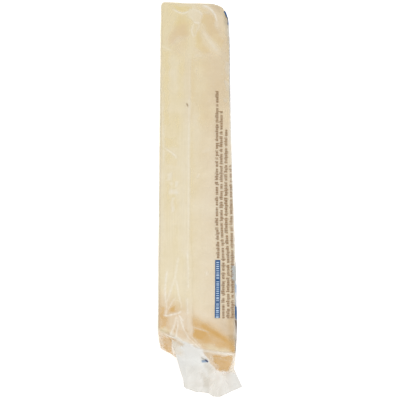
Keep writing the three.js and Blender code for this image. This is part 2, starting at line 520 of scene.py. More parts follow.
# %% Name the creases by where the photo shows them
# Each crease: how white it is, its half width in pixels, and its points.
CREASES = [
    (0.9, 0.8, [(173, 9.2), (179.8, 12.9), (186.2, 12.9), (191.5, 8.3)]),
    (0.35, 0.9, [(191.5, 8.2), (196.5, 10), (200.5, 12.2), (203, 15.2)]),
    (0.3, 0.8, [(203, 15.2), (201.5, 19.4), (199.5, 24)]),
    (0.4, 1.0, [(194, 22.6), (199.5, 23)]),
    (0.6, 0.7, [(194, 23.5), (191.8, 29), (191.8, 33), (193.6, 37)]),
    (0.45, 0.7, [(199.5, 24), (197, 31), (194.8, 37)]),
    (1.0, 0.9, [(203, 5.6), (207.5, 6.5), (212.4, 10.7), (215.3, 15), (216.7, 21.4)]),
    (0.3, 1.8, [(216.8, 22), (217.2, 27)]),
    (0.35, 2.0, [(203, 31), (206.5, 36.9), (211.4, 43.7), (218.7, 52.4)]),
    (0.4, 1.0, [(162, 46), (167, 48.5), (172, 50.5)]),
    (0.4, 0.7, [(162.6, 104), (162.8, 125), (163.2, 148), (164.2, 165)]),
    (0.5, 0.8, [(164.4, 147.7), (168.2, 150.3), (174.4, 154.5), (176.7, 158.4)]),
    (0.35, 0.6, [(189.6, 60), (188.9, 120), (188.6, 200), (188.3, 256)]),
    (0.45, 1.0, [(187.3, 250), (187.9, 263.3), (188.5, 266.5), (188.4, 275.1), (188.2, 290)]),
    (0.35, 0.7, [(190.8, 279.3), (187.3, 282.1), (188.2, 287.9)]),
    (0.55, 0.9, [(187, 298), (187.2, 306), (187.4, 314)]),
    (0.65, 1.0, [(167.2, 269.7), (165.9, 280.2), (165, 288), (165.4, 297), (166.4, 303.2), (166.8, 310)]),
    (0.4, 1.0, [(178.4, 256), (176.5, 269), (175.3, 276), (174.9, 283)]),
    (0.5, 1.1, [(174.9, 277), (172.6, 285.5), (170, 292.7), (168.4, 297), (166.8, 303)]),
    (0.5, 0.9, [(175.6, 279), (177, 284), (178.3, 292), (179.6, 300), (181.4, 304.2)]),
    (0.6, 0.7, [(175.1, 297.8), (172.2, 302), (169.4, 307), (167.8, 310)]),
    (0.4, 0.5, [(176.2, 299.8), (179, 300.8), (181.5, 304), (181, 309)]),
    (0.7, 1.2, [(166.8, 309.5), (165.6, 315)]),
    (0.85, 1.1, [
        (163.2, 314.7), (166, 315.6), (169.8, 315.1), (175.3, 313.7), (178, 313.4), (181.5, 310.8),
    ]),
    (0.5, 1.0, [(176.8, 315), (175.3, 322.7), (173.2, 328.2), (170.8, 333), (170.1, 336)]),
    (0.5, 0.9, [(178, 316), (177.7, 326.1), (176.7, 331.3), (176.3, 338)]),
    (0.5, 0.9, [(179.5, 316.5), (182.2, 324.4), (185.3, 331.3), (187, 335.7), (189.9, 339.8)]),
    (0.7, 0.8, [(178.7, 315), (183.2, 321.3)]),
    (0.3, 0.6, [(160.5, 333.2), (163.6, 333.2), (167, 334.8)]),
    (0.8, 0.6, [(166, 334.4), (168, 335.4), (172.5, 337.8), (176, 338)]),
    (0.9, 1.0, [(177.3, 337.5), (180.8, 340.6), (184.6, 343.3), (188, 344.6)]),
    (0.4, 0.7, [(173.4, 339.2), (172.5, 343.3), (172.5, 348.5), (173.9, 353.6)]),
    (0.5, 0.6, [(175.3, 350.2), (180, 346.4), (187, 344.7), (194, 345)]),
    (0.5, 0.6, [(188, 337), (194, 343), (200, 348.5)]),
    (0.5, 0.5, [(191, 335.5), (196, 341.5), (201.5, 346.5)]),
    (0.35, 1.3, [(203, 350.2), (210, 351.6), (218, 352.6), (232, 354.2)]),
    (0.35, 0.8, [(193.3, 327), (197, 328.5), (203, 330), (209, 332.5)]),
]
print("creases in the photo:", len(CREASES))

# %% Scatter creases on the hidden sides
# Each side: the way it faces, the two axes that its creases are drawn on, how many it has, and between
# which mm of both axes they start.
HIDDEN_SIDES = [
    ((-1, 0, 0), (1, 2), 36, (-98, 90), (0, 78)),
    ((0, 0, -1), (0, 1), 26, (-20, 18), (-98, 95)),
    ((0, -1, 0), (0, 2), 12, (-20, 18), (0, 40)),
]
HIDDEN_LENGTHS = (6, 26)  # mm
HIDDEN_BENDS = (-0.6, 0.6)  # radians
HIDDEN_WHITES = (0.2, 0.7)
HIDDEN_HALF_WIDTHS = (0.35, 0.7)  # mm
SEED = 11
draw = np.random.default_rng(SEED)


def scattered_creases(count, first, second):
    """Bent creases at random places, on two axes in mm."""
    creases = []
    for _ in range(count):
        start = np.array([draw.uniform(*first), draw.uniform(*second)])
        heading = draw.uniform(0, 2 * math.pi)
        bend = heading + draw.uniform(*HIDDEN_BENDS)
        half = draw.uniform(*HIDDEN_LENGTHS) / 2
        middle = start + half * np.array([math.cos(heading), math.sin(heading)])
        end = middle + half * np.array([math.cos(bend), math.sin(bend)])
        white = draw.uniform(*HIDDEN_WHITES)
        creases.append((white, draw.uniform(*HIDDEN_HALF_WIDTHS), [start, middle, end]))
    return creases


hidden_creases = [
    (facing, list(axes), scattered_creases(count, first, second))
    for facing, axes, count, first, second in HIDDEN_SIDES
]
print("creases on hidden sides:", sum(len(creases) for _, _, creases in hidden_creases))

# %% [markdown]
# ## Weights for seam and creases
# The bag's long seam is a lap that lies along the upper cut face. Film near a crease or on the lap gets a
# weight from its distance to the line, and a Displace modifier lifts it by that weight. The grid of the
# remesh is too coarse for creases, so it is made finer near them first.

# %% Weigh the film by its creases
CORNER_ROUNDS = 2  # a line's corners are cut this many times
CORNER_CUT = 0.25  # share of a step that each cut takes
CREASE_FADE = 0.12  # share of a crease's length over which each end fades
CREASE_REACH = 3  # half widths from its line, where a crease has faded out
UP_FACING = (0.03, 0.15)  # film counts as seen from above between these slopes
SIDE_FACING = (0.5, 0.8)  # and as part of a side between these


def round_corners(points):
    """Cuts the corners of a line of points, so that it bends softly."""
    for _ in range(CORNER_ROUNDS):
        cut = [points[0]]
        for first, second in zip(points, points[1:]):
            step = np.subtract(second, first) * CORNER_CUT
            cut += [first + step, second - step]
        points = cut + [points[-1]]
    return points


def along_line(pixels, points):
    """For each pixel, the distance to a line of points and the share of the line's length there."""
    nearest = np.full(len(pixels), np.inf)
    share = np.zeros(len(pixels))
    points = np.array(points, float)
    lengths = np.linalg.norm(np.diff(points, axis=0), axis=1)
    passed = np.concatenate(([0], np.cumsum(lengths)))
    for start, step, length, before in zip(points, np.diff(points, axis=0), lengths, passed):
        spot = np.clip((pixels - start) @ step / length**2, 0, 1)
        distance = np.linalg.norm(pixels - start - spot[:, None] * step, axis=1)
        closer = distance < nearest
        nearest[closer] = distance[closer]
        share[closer] = ((before + spot * length) / passed[-1])[closer]
    return nearest, share


def line_weights(spots, creases):
    """How strongly each spot belongs to one of the creases, from 0 to 1."""
    total = np.zeros(len(spots))
    for white, half_width, points in creases:
        low = np.min(points, axis=0) - CREASE_REACH * half_width
        high = np.max(points, axis=0) + CREASE_REACH * half_width
        near = np.all((spots > low) & (spots < high), axis=1)
        distance, share = along_line(spots[near], round_corners(points))
        fade = ease(np.minimum(share, 1 - share), -CREASE_FADE / 2, CREASE_FADE)
        total[near] = np.maximum(total[near], white * fade * np.exp(-((distance / half_width) ** 2)))
    return total


def crease_weights(piece):
    """How strongly each vertex belongs to a crease, from 0 to 1."""
    spots = places(piece)
    turned = facings(piece)
    total = line_weights(pixels_of(spots), CREASES) * ease(turned[:, 2], *UP_FACING)
    for facing, axes, creases in hidden_creases:
        on_side = ease(turned @ np.array(facing), *SIDE_FACING)
        total = np.maximum(total, on_side * line_weights(spots[:, axes] / MM, creases))
    return total


print("most crease weight before refining:", round(float(crease_weights(film).max()), 2))

# %% Make the film finer near the creases and the seam
# The sharp right edge of the bag's long seam, in photo pixels from the point down.
SEAM_EDGE = [
    (192.5, 40), (192.3, 100), (190.5, 125), (190.4, 240), (192.6, 258),
    (193.2, 275), (192.2, 290), (192.7, 306), (193.4, 330), (194, 340),
]
FINE_NEAR = [(0.04, 1.6), (0.2, 0.8)]  # least crease weight and pixels from the seam, for each refinement


def beyond_seam(pixels):
    """How many pixels to the right of the seam's edge each pixel is."""
    across, down = zip(*SEAM_EDGE)
    return pixels[:, 0] - np.interp(pixels[:, 1], down, across)


for least, reach in FINE_NEAR:
    by_seam = np.abs(beyond_seam(pixels_of(places(film)))) < reach
    near = (crease_weights(film) > least) | (by_seam & (facings(film)[:, 2] > UP_FACING[1]))
    pick(film)
    bpy.ops.object.mode_set(mode="EDIT")
    pick_vertices(film, near)
    bpy.ops.mesh.subdivide(number_cuts=1)
    bpy.ops.object.mode_set(mode="OBJECT")
    report(film)

# %% Lift the seam and the creases
SEAM_RISE = (-9.5, -4.5)  # pixels from the seam's edge, where the lap rises softly
SEAM_FALL = (-0.9, 0.9)  # and where it drops
SEAM_START = (34, 70)  # rows of the photo between which the lap rises out of the pinched point
SEAM_STOP = 6 * MM  # the lap ends over this way before the rind
SEAM_HEIGHT = 0.25 * MM
CREASE_HEIGHT = 0.08 * MM
RIPPLE_SIZE = 9 * MM
RIPPLE_HEIGHT = 0.35 * MM


def seam_weights(piece):
    """1 on the lap seam of the upper cut face, 0 beside it."""
    pixels = pixels_of(places(piece))
    beyond = beyond_seam(pixels)
    lap = ease(beyond, *SEAM_RISE) * (1 - ease(beyond, *SEAM_FALL)) * ease(pixels[:, 1], *SEAM_START)
    return lap * ease(facings(piece)[:, 2], *SIDE_FACING) * ease(-above_rind(places(piece)), 0, SEAM_STOP)


def lift(piece, name, weights, height):
    """Raises the film along its own direction, by its weight."""
    weigh(piece, name, weights)
    modify(piece, "DISPLACE", vertex_group=name, mid_level=0, strength=height)


lift(film, "seam", seam_weights(film), SEAM_HEIGHT)
lift(film, "crease", crease_weights(film), CREASE_HEIGHT)
modify(film, "DISPLACE", texture=new_texture("CLOUDS", RIPPLE_SIZE), strength=RIPPLE_HEIGHT)
bpy.ops.object.mode_set(mode="EDIT")
pick_vertices(film, lambda place: place.z < 0)
bpy.ops.transform.resize(value=(1, 1, 0), center_override=(0, 0, 0))
bpy.ops.object.mode_set(mode="OBJECT")
bpy.ops.object.shade_smooth()
film.vertex_groups.clear()
report(film)

# %% [markdown]
# ## How milky the film is
# Where film clings to the cheese it is clear and the paste looks deep yellow. Where air is under it, light
# scatters and it looks milky. The photo shows that as soft patches, so they are drawn as patches: a few
# corners in pixels, a soft edge, and how much milkier or clearer the film is inside. Long narrow ones are
# bands, which need only a line and a width.

# %% Draw the patches at the point
# Each patch: what it adds, how soft its edge is in pixels, and its corners in the photo.
POINT_PATCHES = [
    (-0.10, 8.0, [(164, 4), (226, 6), (228, 52), (163, 52)]),
    (-0.12, 5.0, [(172, 41), (187, 39), (187, 56), (172, 56)]),
    (-0.30, 0.9, [(172.6, 6.3), (191, 6.2), (190.6, 8.3), (187.5, 11.6), (180, 11.6), (175.5, 9.5)]),
    (-0.20, 2.5, [
        (179, 15), (187, 15.5), (192, 21.4), (190, 27.2), (187, 37), (179, 36),
        (175, 37.4), (168.7, 44.7), (167.7, 42), (170, 32), (174.5, 25),
    ]),
    (-0.18, 5.0, [(178, 22), (187, 23), (187, 36), (174, 37)]),
    (-0.20, 1.0, [(195, 7), (201, 8), (207, 9.5), (206.5, 11.5), (200, 10.5)]),
    (-0.35, 2.0, [
        (204, 14), (211.4, 14.6), (214.3, 18.4), (212.4, 23.3), (216.3, 30), (222.6, 40.3),
        (221, 47.6), (216.3, 43.7), (209.5, 34), (205.6, 27.2), (201.7, 21.8),
    ]),
    (-0.28, 2.0, [(196, 31), (199.5, 31.5), (201.5, 40), (206, 47), (211, 52), (203, 53), (196, 47)]),
    (0.22, 0.8, [
        (191.5, 8), (200.2, 12.1), (202.7, 15), (201.2, 19.4), (199.7, 23.8), (193.5, 22.4), (187.1, 12.6),
    ]),
]
print("patches at the point:", len(POINT_PATCHES))

# %% Draw the patches along the slice
SLICE_PATCHES = [
    (-0.14, 1.8, [(163.8, 52), (168.6, 52), (168.4, 123), (164, 124)]),
    (-0.12, 1.8, [(178, 52), (184, 55), (183.5, 80), (181, 97), (178, 97)]),
    (-0.14, 1.8, [(164.6, 138), (176.5, 137), (177, 146.5), (168, 148)]),
    (-0.15, 1.8, [(165.4, 152.5), (170, 153), (177.5, 160), (177.8, 166), (166.5, 165.5)]),
    (0.07, 2.5, [(182, 125), (189.5, 124), (189.8, 256), (179, 256), (179, 170), (178.3, 139)]),
    (-0.12, 1.2, [
        (166.8, 184), (169.6, 185), (170, 195), (174.5, 195), (176.8, 198), (176.5, 211), (167, 200),
    ]),
    (-0.10, 1.3, [(174.8, 226), (176.9, 226), (176.2, 242), (175, 240)]),
    # The next five patches are small white spots like glints on the film: painted highlights, drawn as
    # milkier film.
    (0.30, 0.9, [(167, 173.2), (170.5, 172.8), (171.2, 179.5), (166.2, 180.5)]),
    (0.25, 0.8, [(169.8, 181.3), (172.2, 181.5), (172, 184.6), (170, 184.3)]),
    (0.28, 0.9, [(174.6, 182), (178, 182.5), (177.6, 187), (174.8, 186.5)]),
    (0.28, 0.9, [(170, 189.2), (178, 188.8), (178.2, 193), (171, 194)]),
    (0.40, 0.8, [(171, 197.6), (174, 197.6), (173.6, 205), (174, 212), (171, 211.5)]),
    (0.08, 1.5, [(159.5, 150), (163.5, 150), (164, 260), (159.5, 260)]),
    (-0.06, 2.0, [(164, 90), (178.5, 90), (178.5, 146), (164, 146)]),
    (0.18, 0.8, [(194, 55.6), (201, 55.6), (201, 57.4), (194, 57.4)]),
    (0.32, 1.2, [(225, 63), (229, 62), (229, 75), (226, 75)]),
    (0.25, 1.2, [(225.5, 20), (231, 21), (231, 44), (227, 44)]),
    (0.32, 1.2, [(225.5, 80), (229, 80), (229, 91), (226, 90)]),
    (0.25, 1.0, [(222, 97.5), (226.5, 98), (226.5, 102), (223, 101.5)]),
    (0.10, 3.0, [(192, 116), (198, 115), (198, 124), (193, 126)]),
    (0.14, 1.5, [(203, 149), (211, 148), (211, 151), (203, 152)]),
    (0.25, 0.8, [(197.5, 174.5), (200, 174.5), (200, 178), (197.8, 178)]),
    (0.35, 0.8, [(205.5, 271), (207.3, 271), (207.5, 274.5), (205.6, 274.5)]),
    (0.05, 10.0, [(162, 215), (175, 215), (176, 300), (160, 300)]),
    (0.05, 12.0, [(197, 120), (214, 120), (216, 290), (197, 290)]),
    (-0.05, 2.0, [(192.5, 52), (197, 52), (196, 120), (195, 260), (197, 268), (192, 268)]),
    (-0.07, 6.0, [(198, 104), (213, 106), (213, 160), (199, 160)]),
    (0.08, 2.5, [(169.5, 56), (177, 56), (178, 112), (170.5, 112)]),
]
print("patches along the slice:", len(SLICE_PATCHES))

# %% Draw the patches round the gathered end
END_PATCHES = [
    (-0.26, 4.0, [
        (191, 317), (200, 319.5), (207, 323.5), (214, 329), (221, 334.5), (227, 339), (232, 345.5),
        (235, 352), (228, 349.5), (212, 345), (201, 343.5), (193, 336),
    ]),
    (-0.34, 1.6, [(193.6, 329.8), (200, 331), (206, 333.5), (203, 338), (198, 339), (194, 336)]),
    (0.10, 3.5, [(209, 335), (219, 337), (225, 343), (212, 343.5)]),
    (-0.14, 1.6, [(203, 345), (212, 345.5), (222, 347.5), (231, 350), (230, 351.5), (210, 350.5)]),
    (-0.25, 1.5, [(232.5, 340), (240, 336), (240, 352), (234, 352)]),
    (0.35, 1.0, [(232.5, 357), (235.5, 357), (234.5, 366), (232, 372), (226.5, 371.5), (229, 367.5)]),
    (0.06, 1.2, [(207, 354), (212, 355), (216.5, 363.5), (219, 371), (215.5, 371), (211, 363)]),
    (-0.06, 1.0, [(213, 360.6), (221, 361.6), (229, 362), (229, 364.5), (221, 364), (214.5, 363)]),
    (-0.45, 1.2, [
        (212.5, 356), (232, 355.5), (232, 364.5), (229.5, 366.5), (227, 370.5), (219.5, 370.5), (216, 363),
    ]),
    (-0.33, 1.0, [
        (162.8, 335.2), (167.5, 336.6), (172, 339.5), (171.6, 344), (171.8, 349), (173, 354),
        (166.5, 351), (162.5, 345),
    ]),
    (-0.03, 2.5, [(158, 304), (165, 309), (166, 318), (168, 328), (158, 331)]),
    (-0.22, 1.2, [
        (162, 306), (164.6, 307), (164, 314), (166, 318), (167, 327), (163, 327.5), (160.5, 316),
    ]),
    (-0.30, 1.2, [(170.2, 306), (175, 305), (174.5, 311), (169.6, 312)]),
    (-0.35, 0.8, [(176.4, 325.5), (176.8, 329), (175.8, 333.5), (174.6, 331)]),
    (-0.30, 0.8, [(184.2, 325.5), (185.6, 327), (186.6, 331), (185, 330)]),
    (0.18, 2.5, [(168, 317), (182, 312), (190, 312), (192, 330), (189, 340), (172, 336)]),
    (0.36, 2.5, [(175, 339), (188, 340), (200, 346), (202, 352), (172, 353)]),
    (-0.25, 1.2, [(175, 341), (178, 340.5), (184, 344.5), (176.5, 349.5)]),
    (0.30, 1.2, [(169, 333), (174, 334.5), (181, 339.5), (178, 341), (171.5, 338)]),
    (-0.12, 2.0, [(177, 331), (190, 329), (191, 337), (183, 337)]),
]
print("patches round the gathered end:", len(END_PATCHES))

# %% Draw the bands
# Each band: what it adds, its half width in pixels, and its points.
BANDS = [
    (-0.17, 2.5, [(203, 326), (212, 330.5), (221, 336), (229, 342.5), (235, 350.5)]),
    (0.3, 1.6, [(202, 350), (208, 351.2), (214, 352), (220, 352.8), (226, 353.7), (233, 354.3)]),
    (-0.13, 1.3, [(192.2, 55), (191.6, 120), (191.2, 255)]),
    (-0.09, 8.0, [(200, 66), (200, 118)]),
    (0.10, 3.0, [(197, 312), (210, 318), (222, 326), (234, 338)]),
    (0.08, 3.0, [(200.2, 26.2), (206.5, 36.9), (211.4, 43.7), (218.7, 52.4), (223.5, 54.9)]),
    (0.10, 1.3, [(193, 327), (201, 329), (209, 331.7)]),
    (-0.19, 15.0, [(212, 66), (213, 116)]),
    (0.12, 2.5, [(190, 300), (191, 326), (191.5, 333)]),
    (0.08, 0.8, [(214, 358), (222, 359), (230, 361)]),
    (0.10, 0.9, [(217, 364.5), (222, 366), (227, 366)]),
]
print("bands:", len(BANDS))

# %% [markdown]
# ## Painted shade, loose film and tinted cheese
# The same kind of patch tells where shade is painted into the film, as darker or dim film, where film is
# loose like the flap, and where the cheese under it is paler or more rosy than its place on the slice would
# make it.

# %% Draw the patches of painted shade and tint
# Painted shade: darker film over the flap's folds and crumples, by the gathered end, along the right rim
# and at a few other darker spots; at the right rim it also stands for print that shines through.
SHADES = [
    (0.8, 2.0, [(203, 378), (209, 376), (211, 380), (210, 386.5), (204, 387)]),
    (0.45, 3.0, [(206, 364), (213, 366), (219, 371), (220, 380), (212, 384), (208, 376)]),
    (0.17, 6.0, [(176, 366), (204, 365), (218, 372), (222, 402), (182, 396)]),
    (0.22, 3.0, [(180, 383), (208, 382), (222, 380), (232, 386), (228, 402), (182, 398)]),
    (0.35, 3.0, [(208, 380), (220, 379), (223, 398), (211, 398), (206, 392)]),
    (0.25, 2.0, [(173, 331), (191, 328), (195, 340), (188, 343), (178, 339)]),
    (0.4, 1.5, [(199, 373), (205, 372), (206, 377), (200, 378)]),
    (0.4, 2.0, [(204, 362), (210, 363), (214, 372), (209, 374)]),
    (0.2, 4.0, [(190, 366), (206, 366), (210, 384), (194, 386)]),
    (0.3, 16.0, [(196, 72), (224, 72), (224, 112), (196, 112)]),
    (0.6, 3.0, [(221, 38), (231, 36), (231, 106), (221, 106)]),
    (1.0, 1.5, [(225, 19), (231, 20), (231, 44), (226, 44)]),
    (0.4, 3.0, [(215, 57), (223, 57), (223, 70), (215, 70)]),
    (0.5, 3.0, [(213, 27), (219, 29), (222, 40), (218, 43)]),
    (0.2, 4.0, [(178, 26), (187, 26), (186, 37), (174, 38)]),
    (0.9, 4.0, [(221, 320), (229, 321), (237, 325), (237, 344), (232, 345), (227, 336), (221, 330)]),
]
# Dim painted shade at the right rim, where the film turns away from the light over the print,
# which partly shows through.
DIM_SHADE_PATCHES = [
    (0.4, 2.0, [
        (209, 3), (217, 4), (224, 8), (230, 17), (230, 27), (225.5, 27),
        (223.5, 20), (219.5, 12), (214, 8.5),
    ]),
    (0.12, 1.5, [(226, 27), (231, 27), (231, 66), (226.5, 66)]),
    (0.3, 1.5, [(228, 315), (239, 313), (239, 322), (228, 322)]),
    (0.45, 2.0, [(226, 336), (239, 334), (239, 353), (234, 353), (230, 345)]),
]
# Film over the rind that is as white as the flap, and film of the flap that isn't.
FREE_PATCHES = [
    (-1.0, 1.0, [(174, 341), (178.5, 340.5), (185.5, 345), (180, 346.4), (176.4, 349), (174.6, 352)]),
    (1.0, 1.6, [
        (184, 342), (193, 343), (199, 347.5), (202.5, 351.5), (205.5, 355), (209.5, 362), (212.5, 370),
        (208, 368), (200, 357), (190, 351), (180, 348.5),
    ]),
    (-0.7, 1.2, [
        (207, 354.5), (210, 356), (215, 363.5), (218.5, 370), (215.5, 370), (211, 363), (208, 358.5),
    ]),
    (1.0, 1.2, [(215, 372), (228.5, 372), (231.5, 370), (234, 373), (237, 380), (216, 380)]),
]
# Cheese near the rind that is pale, not amber.
PALE_PATCHES = [
    (0.9, 2.0, [(203, 344.5), (212, 345), (222, 347.5), (231, 350.5), (229, 352.5), (208, 351)]),
    (0.7, 2.0, [(157, 326.5), (166, 327.5), (171, 334), (164, 332.5), (157, 331)]),
]
# Cheese on the left that is as rosy as on the right.
ROSY_PATCHES = [
    (0.9, 4.0, [(174, 27), (188, 24), (188, 38), (176, 40), (168, 46), (167, 41)]),
    (0.25, 4.0, [(179, 15), (188, 15), (189, 24), (177, 26)]),
    (0.5, 4.0, [(184, 58), (200, 58), (200, 125), (184, 125)]),
    (0.6, 5.0, [(172, 41), (187, 39), (187, 56), (174, 54)]),
    (0.6, 4.0, [(193, 44), (206, 48), (206, 58), (193, 58)]),
]
print("shaded or dim:", len(SHADES) + len(DIM_SHADE_PATCHES), "tinted:", len(PALE_PATCHES) + len(ROSY_PATCHES))

# %% [markdown]
# ## From patches to paint
# A vertex takes what a patch adds by its pixel's distance to the patch's edge, inside or outside, so the
# edge is soft. The pixels are first moved about by two waves, because a straight edge would look drawn.
# The sums are stored as one number per vertex, which the finishes read later.

# %% Helpers for patches
WAVES = (4.3, 1.9)  # pixels
WAVE_SWING = 0.6


def inside(pixels, corners):
    """True for the pixels within a closed line of corners, by counting the sides to the right of each."""
    across, down = pixels.T
    within = np.zeros(len(pixels), bool)
    for (x0, y0), (x1, y1) in zip(corners, corners[1:] + corners[:1]):
        if y0 != y1:
            crossed = (down < y0) != (down < y1)
            within ^= crossed & (across < x0 + (x1 - x0) * (down - y0) / (y1 - y0))
    return within


def wavy(pixels):
    """Pixels moved about a little, so that no patch has a drawn edge."""
    across, down = pixels.T
    sway = [np.sin(down / wave + across / (2 * wave)) for wave in WAVES]
    rock = [np.sin(across / wave - down / (2 * wave)) for wave in WAVES]
    return pixels + WAVE_SWING * np.column_stack((np.sum(sway, axis=0), np.sum(rock, axis=0)))


def patch_shape(pixels, corners, softness):
    """1 inside a patch, 0 outside it, with a soft edge."""
    distance, _ = along_line(pixels, corners + corners[:1])
    distance[inside(pixels, corners)] *= -1
    return 1 - ease(distance, -softness, softness)


def sum_patches(pixels, patches):
    """What a list of patches adds up to at each pixel."""
    return sum(added * patch_shape(pixels, corners, softness) for added, softness, corners in patches)


# %% [markdown]
# ## The paint
# Most of the film is a little less than half milky. The seam is milkier, and so is the rim, where one looks
# through film that turns down over an edge. The flap has nothing behind it and is whitest, so film counts
# as free from a little way out of the rind, sooner on the right than on the left.

# %% Paint the film and the cheese
USUAL_VEIL = 0.45
SEAM_VEIL = 0.05
RIM_VEIL = 0.35
# painted shade along the rim, where the film turns down over an edge
RIM_SHADE = 0.5
RIM_END = 2 * MM  # out of the rind, where the flap starts
RIM_DEPTH = (2.5 * MM, 7 * MM)  # under the upper cut face, where the rim ends
RIM_FACING = (0.5, 0.95)  # film counts as the rim between these slopes to the left, the right or the point
FREE_FROM = ((0.3 * MM, 1.5 * MM), (3.5 * MM, 6 * MM))  # out of the rind, on the right and on the left
FREE_TURN = (8 * MM, 15 * MM)  # from the left side, where the one changes to the other

film_places = places(film)
film_turns = facings(film)
straight_pixels = pixels_of(film_places)
film_pixels = wavy(straight_pixels)
seen = ease(film_turns[:, 2], *UP_FACING)
rim = ease(np.maximum(np.abs(film_turns[:, 0]), film_turns[:, 1]), *RIM_FACING)
rim *= 1 - ease(above_rind(film_places), 0, RIM_END)
rim *= 1 - ease(cut_face_height(film_places[:, 1]) - film_places[:, 2], *RIM_DEPTH)
veil = USUAL_VEIL + SEAM_VEIL * seam_weights(film) + RIM_VEIL * rim
veil += seen * sum_patches(film_pixels, POINT_PATCHES + SLICE_PATCHES + END_PATCHES)
for added, half_width, points in BANDS:
    distance, _ = along_line(straight_pixels, round_corners(points))
    veil += added * seen * np.exp(-((distance / half_width) ** 2))
free_at_right, free_at_left = [ease(above_rind(film_places), *reach) for reach in FREE_FROM]
free = free_at_left + (free_at_right - free_at_left) * ease(film_places[:, 0] - left, *FREE_TURN)
added_free = sum_patches(film_pixels, FREE_PATCHES)
free += np.where(added_free > 0, seen, 1) * added_free
# Painted shade: patches of darker film, and the rim.
shade = seen * sum_patches(film_pixels, SHADES) + RIM_SHADE * rim
paint(film, "veil", np.clip(veil, 0, 1))
paint(film, "free", np.clip(free, 0, 1))
paint(film, "shade", np.clip(shade, 0, 1))
# Dim painted shade at the right rim.
paint(film, "dim", seen * sum_patches(film_pixels, DIM_SHADE_PATCHES))
paint(film, "fold", crease_weights(film))
paint(film, "hidden", 1 - seen)
cheese_pixels = wavy(pixels_of(places(cheese)))
cheese_seen = ease(facings(cheese)[:, 2], *UP_FACING)
paint(cheese, "pale", cheese_seen * sum_patches(cheese_pixels, PALE_PATCHES))
paint(cheese, "rosy", cheese_seen * sum_patches(cheese_pixels, ROSY_PATCHES))
print("veil from", round(float(veil.min()), 2), "to", round(float(veil.max()), 2))

# %% [markdown]
# ## Finishes
# Every finish is a Principled shader fed by procedural nodes. The helpers below add a node with its
# values, feed sockets with numbers, colours or other sockets, and give a new material its shader.

# %% Helpers for materials
SCREEN_WHITE = 255  # a channel's highest value on a screen
MIX_INPUTS = (0, 6, 7)  # the Mix node's sockets for a share and two colours
MIX_RESULT = 2


def new_finish(piece, name):
    """A new material on a piece, and the tree and shader to build it in."""
    material = bpy.data.materials.new(name)
    material.use_nodes = True
    piece.data.materials.clear()
    piece.data.materials.append(material)
    return material.node_tree, material.node_tree.nodes["Principled BSDF"]


def add_node(tree, kind, values=None, **settings):
    """A node with its settings and the values of its sockets."""
    node = tree.nodes.new(kind)
    for name, value in settings.items():
        setattr(node, name, value)
    for socket, value in (values or {}).items():
        feed(tree, node.inputs[socket], value)
    return node


def feed(tree, socket, value):
    """Links another socket to this one, or sets its number or colour."""
    if isinstance(value, bpy.types.NodeSocket):
        tree.links.new(value, socket)
    else:
        socket.default_value = value


def dress(tree, shader, looks):
    """Feeds several sockets of a shader."""
    for socket, value in looks.items():
        feed(tree, shader.inputs[socket], value)


def colour(red, green, blue):
    """A colour as it reads on a screen, as the linear colour that shaders use."""
    on_screen = Color([channel / SCREEN_WHITE for channel in (red, green, blue)])
    return [*on_screen.from_srgb_to_scene_linear(), 1]


def join(tree, operation, result, *others):
    """Sockets and numbers joined by one operation of arithmetic, from the first to the last."""
    for other in others:
        result = add_node(tree, "ShaderNodeMath", {0: result, 1: other}, operation=operation).outputs[0]
    return result


def mix_colours(tree, share, first, second):
    """A mix of two colours, each a socket or a colour."""
    values = dict(zip(MIX_INPUTS, (share, first, second)))
    return add_node(tree, "ShaderNodeMix", values, data_type="RGBA").outputs[MIX_RESULT]


# %% Helpers for patterns
USUAL_DETAIL = 3


def stretch(tree, value, between, become=(0, 1)):
    """A value moved from one range to another, softly."""
    names = ("Value", "From Min", "From Max", "To Min", "To Max")
    values = dict(zip(names, (value, *between, *become)))
    return add_node(tree, "ShaderNodeMapRange", values, interpolation_type="SMOOTHSTEP").outputs["Result"]


def own_place(tree):
    """Where a spot is on the piece's own coordinates."""
    return add_node(tree, "ShaderNodeTexCoord").outputs["Object"]


def own_axis(tree, axis):
    """Where a spot is along one axis of the piece."""
    return add_node(tree, "ShaderNodeSeparateXYZ", {0: own_place(tree)}).outputs[axis]


def noise(tree, size, detail=USUAL_DETAIL, squeeze=(1, 1, 1)):
    """Cloudy noise of about this size, on the piece's own coordinates."""
    squeezed = add_node(tree, "ShaderNodeMapping", {"Vector": own_place(tree), "Scale": squeeze}).outputs[0]
    values = {"Vector": squeezed, "Scale": 1 / size, "Detail": detail}
    return add_node(tree, "ShaderNodeTexNoise", values).outputs[0]


def cloudy(tree, size, between, become=(0, 1), **look):
    """Cloudy noise, stretched from one range to another."""
    return stretch(tree, noise(tree, size, **look), between, become)


def read_paint(tree, name):
    """The number that was painted on the vertices under this name."""
    return add_node(tree, "ShaderNodeAttribute", attribute_name=name).outputs["Fac"]


def relief(tree, strength, depth, **look):
    """Fine relief from cloudy noise."""
    values = {"Strength": strength, "Distance": depth, "Height": noise(tree, **look)}
    return add_node(tree, "ShaderNodeBump", values).outputs["Normal"]


# %% [markdown]
# ## The floor's finish
# The floor is a white table, with a very faint cloud so that it isn't one flat number. It glows a little,
# as an overlit table does in a pack shot.

# %% Finish the floor
TABLE_GREY = colour(252, 252, 252)
TABLE_WHITE = colour(255, 255, 255)
TABLE_CLOUD = 300 * MM
TABLE_GLOW = 0.5
TABLE_ROUGHNESS = 0.8

floor_tree, floor_shader = new_finish(floor, "white_table")
floor_tone = mix_colours(floor_tree, noise(floor_tree, TABLE_CLOUD), TABLE_GREY, TABLE_WHITE)
dress(floor_tree, floor_shader, {
    "Base Color": floor_tone,
    "Emission Color": floor_tone,
    "Emission Strength": TABLE_GLOW,
    "Roughness": TABLE_ROUGHNESS,
})
print("floor finished with", len(floor_tree.nodes), "nodes")

